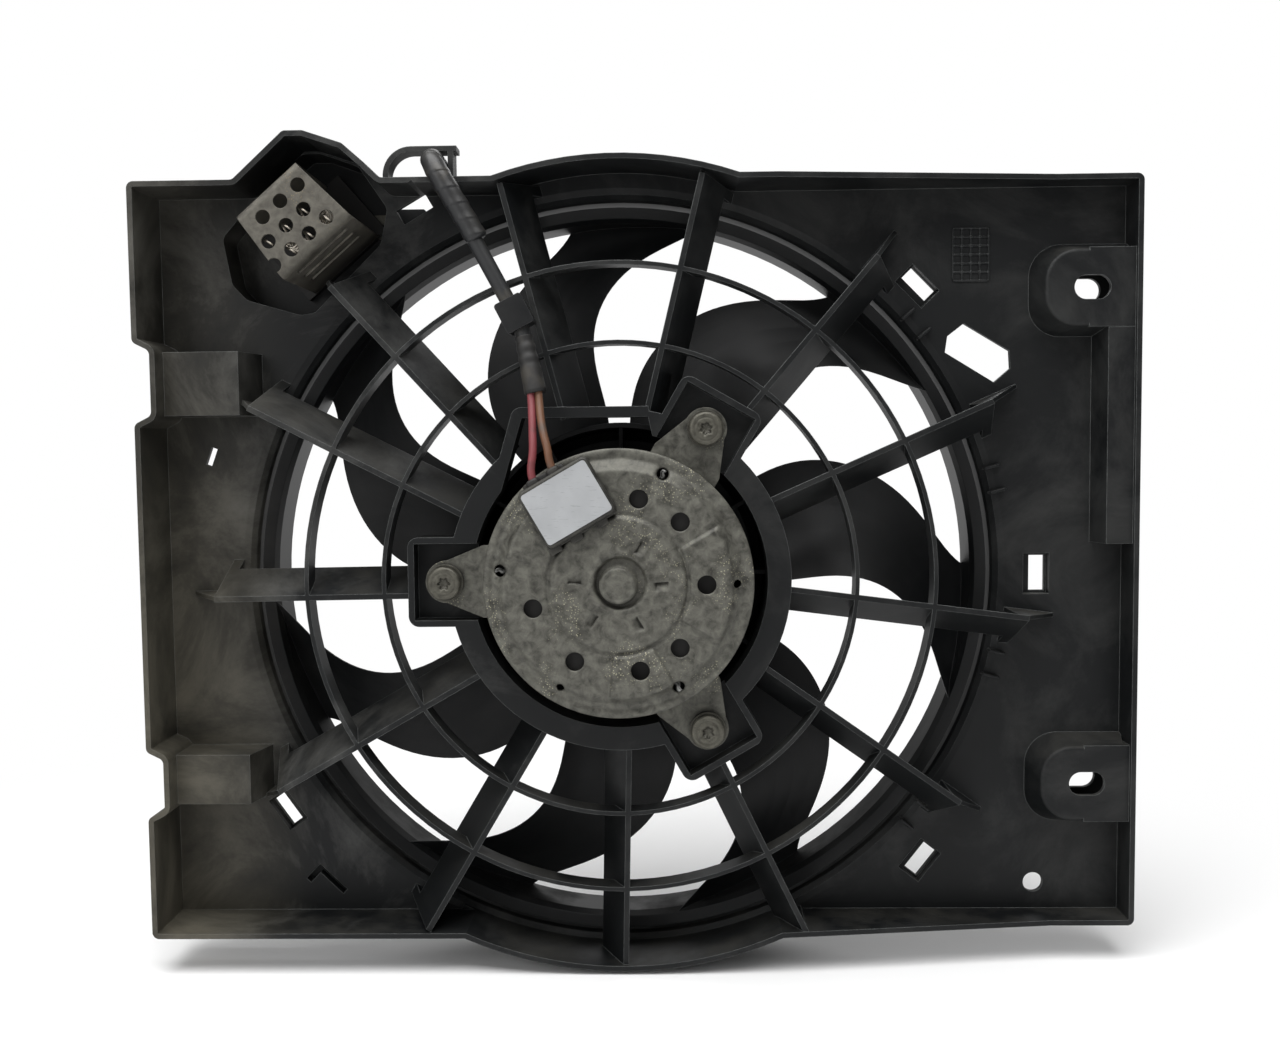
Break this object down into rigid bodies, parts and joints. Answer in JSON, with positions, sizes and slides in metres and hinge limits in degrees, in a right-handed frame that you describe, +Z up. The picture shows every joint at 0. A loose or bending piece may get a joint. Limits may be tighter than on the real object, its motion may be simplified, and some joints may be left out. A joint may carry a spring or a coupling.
{
  "type": "radiator cooling fan",
  "caption": "Electric radiator cooling fan: ribbed black plastic shroud, ringed fan wheel and flat motor in its middle, with a resistor in one corner.",
  "frame": {"origin": "on the fan's axis, in the plane of the panel's front face", "axes": "+X right and +Z up seen from the motor side, +Y along the fan's axis away from the motor side, towards the radiator"},
  "size_m": [0.47, 0.0869, 0.3957],
  "materials": {
    "black_plastic": "moulded, dusty",
    "fan_plastic": "moulded",
    "plain_steel": "plain",
    "dark_screws": "zinc plated, dulled",
    "ground_steel": "ground",
    "core_steel": "laminated",
    "copper": "lacquered copper",
    "zinc_plated_steel": "dull zinc, dirty",
    "ferrite": "sintered",
    "bronze": "sintered",
    "brown_insulation": "pressed sheet",
    "carbon": "carbon",
    "dull_steel_cover": "dull zinc",
    "blank_label": "satin, bare",
    "bushing_rubber": "moulded",
    "guard_steel": "dull",
    "resistance_wire": "wire",
    "lead_jacket": "smooth",
    "sleeve_plastic": "taped",
    "red_insulation": "dusty",
    "brown_wire": "dusty"
  },
  "bodies": {
    "housing": {"shroud": "black_plastic", "motor_can": "zinc_plated_steel", "motor_end_cap": "zinc_plated_steel", "magnets": "ferrite", "rear_bearing": "bronze", "front_bearing": "bronze", "brush_plate": "brown_insulation", "brushes": "carbon", "brush_springs": "ground_steel", "brush_cover": "dull_steel_cover", "name_plate": "blank_label", "mount_screws": "dark_screws", "mount_washers": "dark_screws", "rubber_bushings": "bushing_rubber", "spacer_sleeves": "plain_steel", "mount_nuts": "plain_steel", "resistor_guard": "guard_steel", "resistor_base": "brown_insulation", "resistor_elements": "resistance_wire", "resistor_terminals": "bronze", "lead_tube": "lead_jacket", "lead_sleeve": "sleeve_plastic", "lead_boot": "bushing_rubber", "spoke_clip": "black_plastic", "lead_plug": "black_plastic", "wire_red": "red_insulation", "wire_brown": "brown_wire"},
    "rotor": {"fan_wheel": "fan_plastic", "fan_driver": "plain_steel", "driver_screws": "dark_screws", "motor_shaft": "ground_steel", "armature_core": "core_steel", "armature_windings": "copper", "commutator": "copper"}
  },
  "joints": [
    {"name": "fan_spin", "type": "hinge", "parent": "housing", "child": "rotor", "pos_m": [0, 0, 0], "axis": [0, -1, 0], "continuous": true}
  ]
}
